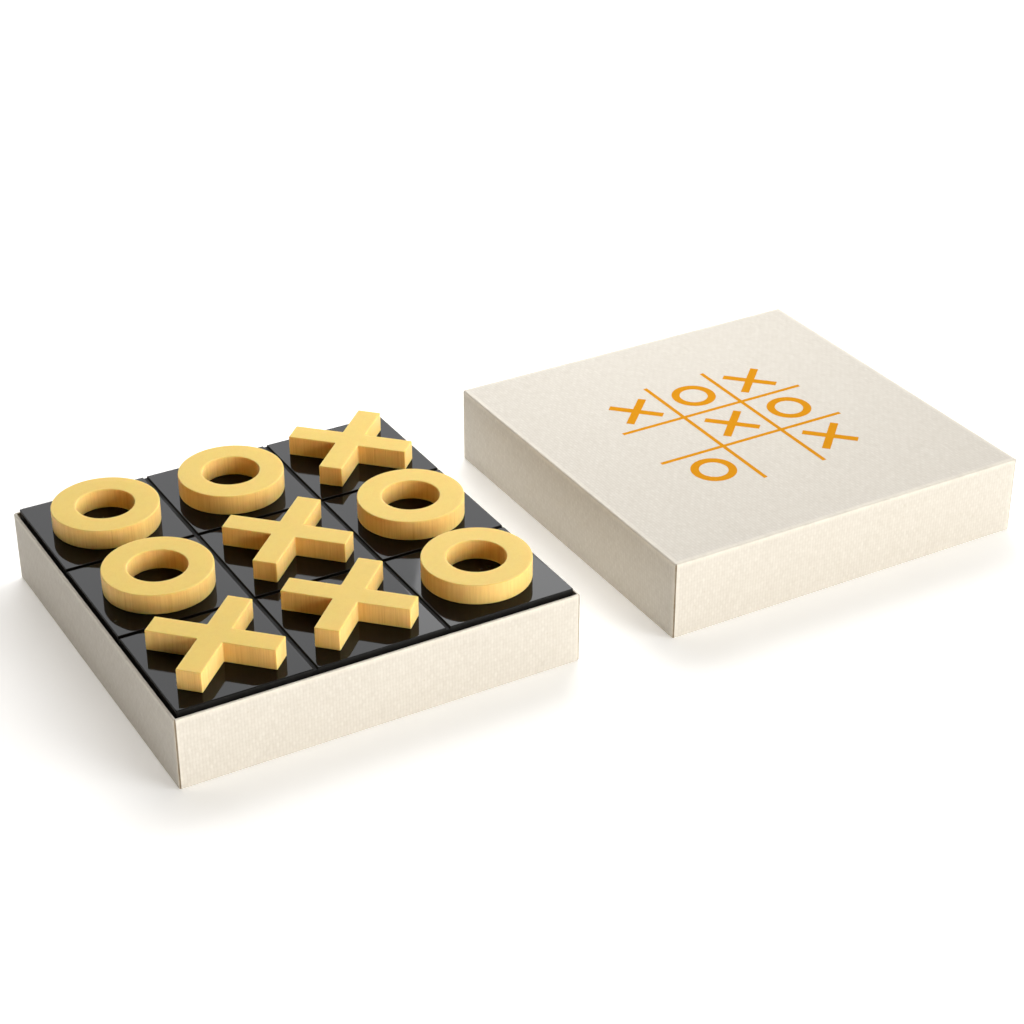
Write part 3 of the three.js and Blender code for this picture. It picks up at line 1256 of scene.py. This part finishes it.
@dataclass(frozen=True)
class RingForm:
    """A flat ring with eased arrises, for a wooden nought or a stamped one."""

    outside: float
    band: float
    ease: float
    worn_margin: float
    turns: int = 144
    steps: int = 4

    def draft(self, middle: Vector, bottom: float, top: float) -> MeshDraft:
        """Draws the ring.

        Args:
            middle: the ring's centre in plan.
            bottom: height of its underside.
            top: height of its face.

        Returns:
            The draft of the ring.
        """
        ease = self.ease
        outer = self.outside
        inner = outer - self.band
        bends = (
            Bend(outer - ease, bottom + ease, ease, ease, -QUARTER, 0, self.steps),
            Bend(outer - ease, top - ease, ease, ease, 0, QUARTER, self.steps),
            Bend(inner + ease, top - ease, ease, ease, QUARTER, 2 * QUARTER, self.steps),
            Bend(inner + ease, bottom + ease, ease, ease, 2 * QUARTER, 3 * QUARTER, self.steps),
        )
        margin = ease + self.worn_margin
        plain = (
            [Station(outer, bottom + margin), Station(outer, top - margin)],
            [Station(outer - margin, top), Station(inner + margin, top)],
            [Station(inner, top - margin), Station(inner, bottom + margin)],
            [Station(inner + margin, bottom), Station(outer - margin, bottom)],
        )
        draft = MeshDraft()
        rings = []
        for bend, between in zip(bends, plain):
            for station in bend.stations() + between:
                points = []
                for turn in range(self.turns):
                    angle = 4 * QUARTER * turn / self.turns
                    x = middle.x + station.out * math.cos(angle)
                    y = middle.y + station.out * math.sin(angle)
                    points.append((x, y, station.up))
                rings.append(draft.ring(points, [station.wear_and_highlight] * self.turns))
        for lower, upper in zip(rings, rings[1:] + rings[:1]):
            draft.bridge(lower, upper)
        return draft


@dataclass(frozen=True)
class CrossForm:
    """A flat diagonal cross with eased arrises, for a wooden cross or a stamped one."""

    half_square: float
    stroke: float
    ease: float
    corner: float
    worn_margin: float
    steps: int = 4

    def outline(self, inset: float) -> list[tuple[float, float]]:
        """Draws the cross's plan, drawn in by inset from its full size.

        Args:
            inset: how far inside the full outline.

        Returns:
            The points counter-clockwise about the middle.
        """
        half = self.stroke / 2
        reach = self.half_square * math.sqrt(2) - half
        tip = max(self.corner, inset)
        convex = max(self.corner - inset, 0.0)
        hollow = half + self.corner
        arcs = (
            (reach - tip, tip - half, convex, -QUARTER, 1),
            (reach - tip, half - tip, convex, 0.0, 1),
            (hollow, hollow, self.corner + inset, -QUARTER, -1),
        )
        drawn = []
        for arm in range(4):
            turn = (arm + 0.5) * QUARTER
            for centre_x, centre_y, radius, start, way in arcs:
                for step in quarter_turn(self.steps):
                    x = centre_x + radius * math.cos(start + way * step)
                    y = centre_y + radius * math.sin(start + way * step)
                    drawn.append(self._turned(x, y, turn))
        return drawn

    @staticmethod
    def _turned(x: float, y: float, angle: float) -> tuple[float, float]:
        """Turns a point about the middle."""
        return x * math.cos(angle) - y * math.sin(angle), x * math.sin(angle) + y * math.cos(angle)

    def draft(self, middle: Vector, bottom: float, top: float) -> MeshDraft:
        """Draws the cross.

        Args:
            middle: the cross's centre in plan.
            bottom: height of its underside.
            top: height of its face.

        Returns:
            The draft of the cross.
        """
        ease = self.ease
        margin = self.ease + self.worn_margin
        under = Bend(-ease, bottom + ease, ease, ease, -QUARTER, 0, self.steps)
        over = Bend(-ease, top - ease, ease, ease, 0, QUARTER, self.steps)
        stations = [
            Station(-margin, bottom),
            *under.stations(),
            Station(0, bottom + margin),
            Station(0, top - margin),
            *over.stations(),
            Station(-margin, top),
        ]
        draft = MeshDraft()
        rings = []
        for station in stations:
            outline = self.outline(-station.out)
            points = [(middle.x + x, middle.y + y, station.up) for x, y in outline]
            rings.append(draft.ring(points, [station.wear_and_highlight] * len(points)))
        draft.close_up(rings)
        return draft


@dataclass(frozen=True)
class GridForm:
    """The crossing lines of a game's grid, as one thin plate."""

    reach: float
    pitch: float
    line: float

    def stops(self) -> list[float]:
        """Places the plate's cuts along one axis.

        Returns:
            The cuts from end to end, measured from the middle.
        """
        half = self.line / 2
        middle = self.pitch / 2
        return [-self.reach, -middle - half, half - middle, middle - half, middle + half, self.reach]

    def draft(self, middle: Vector, bottom: float, top: float) -> MeshDraft:
        """Draws the grid.

        Args:
            middle: the grid's centre in plan.
            bottom: height of its underside.
            top: height of its face.

        Returns:
            The draft of the grid.
        """
        stops = self.stops()
        draft = MeshDraft()
        under, over = (
            [draft.ring([(middle.x + x, middle.y + y, height) for x in stops]) for y in stops]
            for height in (bottom, top)
        )
        cells = range(len(stops) - 1)
        lines = {(row, column) for row in cells for column in cells if row % 2 or column % 2}
        for row, column in sorted(lines):
            ring = ((row, column), (row, column + 1), (row + 1, column + 1), (row + 1, column))
            draft.cap([under[y][x] for y, x in ring], faces_up=False)
            draft.cap([over[y][x] for y, x in ring], faces_up=True)
            beyond = ((row - 1, column), (row, column + 1), (row + 1, column), (row, column - 1))
            for neighbour, (y, x), (next_y, next_x) in zip(beyond, ring, ring[1:] + ring[:1]):
                if neighbour not in lines:
                    wall = (under[y][x], under[next_y][next_x], over[next_y][next_x], over[y][x])
                    draft.faces.append(wall)
        return draft


@dataclass
class WoodenPieces:
    """The wooden rings or the wooden crosses that stand on the board."""

    mark: Mark
    node_stem: str
    name_stem: str
    count: int
    stroke: float = 11.6 * MM
    ease: float = 0.4 * MM
    upright_corner: float = 0.45 * MM
    worn_margin: float = 0.8 * MM

    def build(self, material: Material) -> list[SceneObject]:
        """Makes the pieces.

        Args:
            material: their wood.

        Returns:
            The pieces in order.
        """
        made = []
        for number in range(1, self.count + 1):
            node = f"{self.node_stem}_{number}"
            low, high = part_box(node)
            reach = (high.x - low.x) / 2
            draft = self.form(reach).draft((low + high) / 2, low.z, high.z)
            tag = PieceTag(f"{self.name_stem}_{number}", node, "pale_wood", (node,))
            made.append(draft.make(tag, material))
        return made

    def form(self, reach: float) -> RingForm | CrossForm:
        """Chooses the pieces' shape.

        Args:
            reach: from a piece's middle to its side.

        Returns:
            The shape that fits within that reach.
        """
        if self.mark is Mark.NOUGHT:
            return RingForm(reach, self.stroke, self.ease, self.worn_margin)
        return CrossForm(reach, self.stroke, self.ease, self.upright_corner, self.worn_margin)


@dataclass
class StampedMotif:
    """A game in play, hot-stamped in foil on the middle of the lid."""

    lid_node: str = "lid_wrap"
    tag: PieceTag = PieceTag("lid_foil_motif", "lid")
    game: tuple[str, ...] = ("XOX", " XO", "O X")
    pitch: float = 35 * MM
    line: float = 2.2 * MM
    overhang: float = 1.5 * MM
    mark_reach: float = 11.4 * MM
    mark_stroke: float = 4.2 * MM
    foil: float = 0.02 * MM
    pressed_in: float = 0.02 * MM
    ease: float = 0.01 * MM
    corner: float = 0.12 * MM
    worn_margin: float = 0.005 * MM
    ring_turns: int = 96
    ease_steps: int = 1

    def build(self, material: Material) -> list[SceneObject]:
        """Makes the motif as one piece of foil.

        Args:
            material: the foil.

        Returns:
            The motif alone.
        """
        low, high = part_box(self.lid_node)
        middle = (low + high) / 2
        bottom = high.z - self.pressed_in
        top = high.z + self.foil
        tiles = len(self.game)
        reach = tiles * self.pitch / 2 + self.overhang
        draft = GridForm(reach, self.pitch, self.line).draft(middle, bottom, top)
        sizes = (self.mark_reach, self.mark_stroke, self.ease)
        ring = RingForm(*sizes, self.worn_margin, turns=self.ring_turns, steps=self.ease_steps)
        cross = CrossForm(*sizes, self.corner, self.worn_margin, steps=self.ease_steps)
        forms = {Mark.NOUGHT.value: ring, Mark.CROSS.value: cross}
        last = (tiles - 1) / 2
        for row, marks in enumerate(self.game):
            for column, mark in enumerate(marks):
                if mark in forms:
                    place = Vector(((column - last) * self.pitch, (last - row) * self.pitch, 0))
                    draft.join(forms[mark].draft(middle + place, bottom, top))
        return [draft.make(self.tag, material)]


@dataclass
class DressedSolids:
    """Solids that keep their shape and take a finish."""

    nodes: tuple[str, ...]
    slot: str

    def build(self, material: Material) -> list[SceneObject]:
        """Dresses the solids.

        Args:
            material: their finish.

        Returns:
            The solids' objects.
        """
        made = []
        for name in self.nodes:
            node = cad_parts[name]
            node.data.materials.clear()
            node.data.materials.append(material)
            made.append(node)
        return made


@dataclass(frozen=True)
class SoftLamp:
    """A square soft light that faces the object. Its bearing and height are in degrees."""

    name: str
    bearing: float
    height: float
    distance: float
    size: float
    watts: float
    tint: Colour

    def hang(self, aim: Vector) -> None:
        """Hangs the light.

        Args:
            aim: the point that it faces.
        """
        lamp = bpy.data.lights.new(self.name, "AREA")
        lamp.size = self.size
        lamp.energy = self.watts
        lamp.color = self.tint[:3]
        light = bpy.data.objects.new(self.name, lamp)
        towards = pointing(self.bearing, self.height)
        light.location = aim + towards * self.distance
        light.rotation_euler = towards.to_track_quat("Z", "Y").to_euler()
        bpy.context.scene.collection.objects.link(light)


@dataclass
class Studio:
    """Pale floor, soft light and the camera. Angles are in degrees."""

    floor_half: float = 15.0
    camera_place: Point = (-0.3644, -0.8417, 0.5872)
    camera_heading: float = 29.85
    camera_down: float = 30.18
    lens_mm: float = 81.3
    sensor_mm: float = 36.0
    aim: Point = (0.1, -0.02, 0.03)
    lamps: tuple[SoftLamp, ...] = (
        SoftLamp("key_light", 145, 15, distance=8.0, size=4.0, watts=425.0, tint=paint(250, 253, 255)),
        SoftLamp("side_light", 122, 9, distance=8.0, size=4.0, watts=277.0, tint=paint(250, 253, 255)),
        SoftLamp("low_light", 185, 7, distance=8.0, size=3.2, watts=180.0, tint=paint(255, 232, 200)),
        SoftLamp("back_light", 40, 50, distance=0.45, size=0.25, watts=0.78, tint=paint(255, 255, 255)),
    )
    far_sky: float = 1.85
    near_sky: float = 0.02
    sky_edge: Span = (0.1, 0.7)
    panel_bearing: float = 26
    panel_height: float = 42
    panel_spread: Span = (5, 22)
    panel_light: float = 3.2
    far_tint: Colour = paint(252, 253, 255)
    near_tint: Colour = paint(255, 236, 212)

    def build(self, floor_paint: Material) -> None:
        """Builds floor, light and camera.

        Args:
            floor_paint: the floor's finish.
        """
        self.lay_floor(floor_paint)
        for lamp in self.lamps:
            lamp.hang(Vector(self.aim))
        self.light_room()
        self.set_camera()
        bpy.context.scene.view_settings.view_transform = "Standard"

    def lay_floor(self, floor_paint: Material) -> None:
        """Lays a wide floor under the object.

        Args:
            floor_paint: its finish.
        """
        reach = self.floor_half
        mesh = bpy.data.meshes.new("studio_floor")
        corners = [(-reach, -reach, 0), (reach, -reach, 0), (reach, reach, 0), (-reach, reach, 0)]
        mesh.from_pydata(corners, [], [(0, 1, 2, 3)])
        mesh.materials.append(floor_paint)
        floor = bpy.data.objects.new("studio_floor", mesh)
        bpy.context.scene.collection.objects.link(floor)

    def light_room(self) -> None:
        """Lights the room: bright beyond the object, with a brighter panel, dim behind the camera."""
        world = bpy.data.worlds.new("studio_room")
        world.use_nodes = True
        wires = Wiring(world.node_tree)
        way = wires.node("TexCoord").outputs["Generated"]
        beyond = wires.ramp(wires.dot(way, pointing(self.camera_heading, 0)), self.sky_edge)
        panel = wires.dot(way, pointing(self.panel_bearing, self.panel_height))
        full, gone = (math.cos(math.radians(angle)) for angle in self.panel_spread)
        glare = wires.ramp(panel, (gone, full), to=(0.0, self.panel_light))
        strength = wires.maths("ADD", wires.blend(beyond, self.near_sky, self.far_sky), glare)
        sky = world.node_tree.nodes["Background"].inputs
        wires.feed(sky["Strength"], strength)
        wires.feed(sky["Color"], wires.tint(beyond, self.near_tint, self.far_tint))
        bpy.context.scene.world = world

    def set_camera(self) -> None:
        """Sets up the camera at the viewing angle."""
        lens = bpy.data.cameras.new("camera")
        lens.lens = self.lens_mm
        lens.sensor_width = self.sensor_mm
        camera = bpy.data.objects.new("camera", lens)
        camera.location = self.camera_place
        tilt = QUARTER - math.radians(self.camera_down)
        camera.rotation_euler = Euler((tilt, 0, -math.radians(self.camera_heading)))
        bpy.context.scene.collection.objects.link(camera)
        bpy.context.scene.camera = camera


def main() -> None:
    """Builds the set piece by piece and reports each."""
    logging.basicConfig(level=logging.INFO, format="%(message)s")
    effects = Effects()
    Studio().build(StudioFloorPaint().material(effects))
    cover = CoverPaper().material(effects)
    lining = LiningPaper().material(effects)
    greyboard = PulpBoard(
        "bare_greyboard",
        colour=paint(150, 142, 130),
        fibre=paint(172, 164, 152),
        fleck=paint(104, 98, 90),
    ).material(effects)
    tape = PulpBoard(
        "brown_kraft_tape",
        colour=paint(176, 138, 94),
        fibre=paint(196, 160, 116),
        fleck=paint(138, 102, 62),
    ).material(effects)
    ledges = tuple(f"ledge_{side}" for side in ("front", "back", "left", "right"))
    stays = tuple(
        f"{box}_corner_stay_{corner + 1}" for box in ("base", "lid") for corner in range(BOX_CORNERS)
    )
    jobs = (
        (
            PaperCover(
                "base_wrap",
                PieceTag("tray_cover_paper", "base", "linen_paper", ("base_wrap",)),
                Standing.MOUTH_UP,
                # The tray's bottom fold is darkened as painted shade; its rim is worn and lit with
                # painted highlight, and darkened towards the board as painted shade.
                fold_wear_and_highlight=0.1,
                fold_shade=0.7,
                rim_wear_and_highlight=1.0,
                rim_shade=(0.0, 1.0),
            ),
            cover,
        ),
        (
            PaperCover(
                "lid_wrap",
                PieceTag("lid_cover_paper", "lid", "linen_paper", ("lid_wrap",)),
                Standing.MOUTH_DOWN,
                fold_wear_and_highlight=1.0,
                # The lid's top folds are worn and lit with painted highlight; its lower rim, at the
                # table, is darkened as painted shade.
                fold_shade=0.0,
                rim_wear_and_highlight=0.1,
                rim_shade=(0.7, 0.7),
            ),
            cover,
        ),
        (DressedSolids(("base_blank", "lid_blank"), "greyboard"), greyboard),
        (DressedSolids(stays, "kraft_tape"), tape),
        (DressedSolids(ledges + ("base_liner", "lid_liner"), "black_paper"), lining),
        (GlossBoard(), GlossLacquer().material(effects)),
        (WoodenPieces(Mark.NOUGHT, "nought", "wooden_ring", 5), PaleWood("ring_wood").material(effects)),
        (WoodenPieces(Mark.CROSS, "cross", "wooden_cross", 4), PaleWood("cross_wood").material(effects)),
        (StampedMotif(), GoldFoil().material(effects)),
    )
    for sub_assembly, finish in jobs:
        for piece in sub_assembly.build(finish):
            LOG.info("%s: %d faces, %s", piece.name, len(piece.data.polygons), finish.name)


if __name__ == "__main__":
    main()
